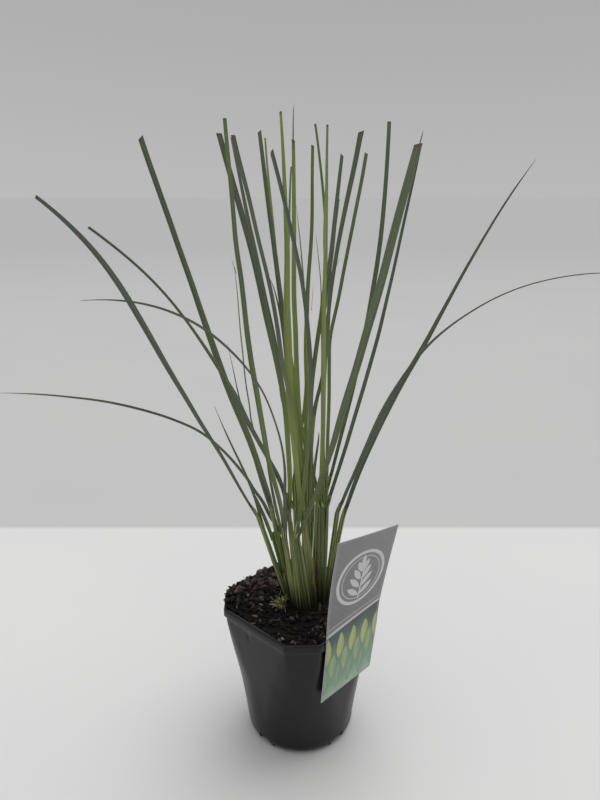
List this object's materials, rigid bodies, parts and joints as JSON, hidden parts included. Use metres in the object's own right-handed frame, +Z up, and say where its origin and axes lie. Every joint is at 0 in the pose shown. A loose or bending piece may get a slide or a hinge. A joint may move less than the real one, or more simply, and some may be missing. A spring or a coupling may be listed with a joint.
{
  "type": "potted dwarf pampas grass",
  "caption": "Young dwarf pampas grass with trimmed upright blades and a few long arching ones, in a black square-shouldered nursery pot with peat soil and a plant label hooked over the rim.",
  "frame": {"origin": "centre of the pot's underside, on the surface that the pot stands on", "axes": "+Z up along the pot's axis; -Y is the front, the side shown in the picture; +X to the right seen from the front"},
  "size_m": [0.4751, 0.2733, 0.5046],
  "materials": {
    "pot_plastic": "thin black polypropylene, satin, slightly scuffed",
    "peat_and_bark": "damp dark brown peat with reddish bark chips and straw fibres",
    "grass_leaf": "blue-green to mid green blades with fine ribs, paler sheaths, satin",
    "moss": "yellow-green pointed leaves, matt",
    "dry_straw": "dry straw, matt",
    "label_card": "thin printed plastic card, satin gloss"
  },
  "bodies": {
    "root": {"pot": "pot_plastic", "soil": "peat_and_bark", "moss_tuft": "moss", "old_stub": "dry_straw", "label": "label_card", "tiller_01": "grass_leaf", "tiller_02": "grass_leaf", "tiller_03": "grass_leaf", "tiller_04": "grass_leaf", "tiller_05": "grass_leaf", "tiller_06": "grass_leaf", "tiller_07": "grass_leaf", "tiller_08": "grass_leaf", "tiller_09": "grass_leaf", "tiller_10": "grass_leaf", "tiller_11": "grass_leaf", "tiller_12": "grass_leaf", "tiller_13": "grass_leaf", "tiller_14": "grass_leaf", "tiller_15": "grass_leaf", "tiller_16": "grass_leaf", "tiller_17": "grass_leaf"}
  },
  "joints": []
}
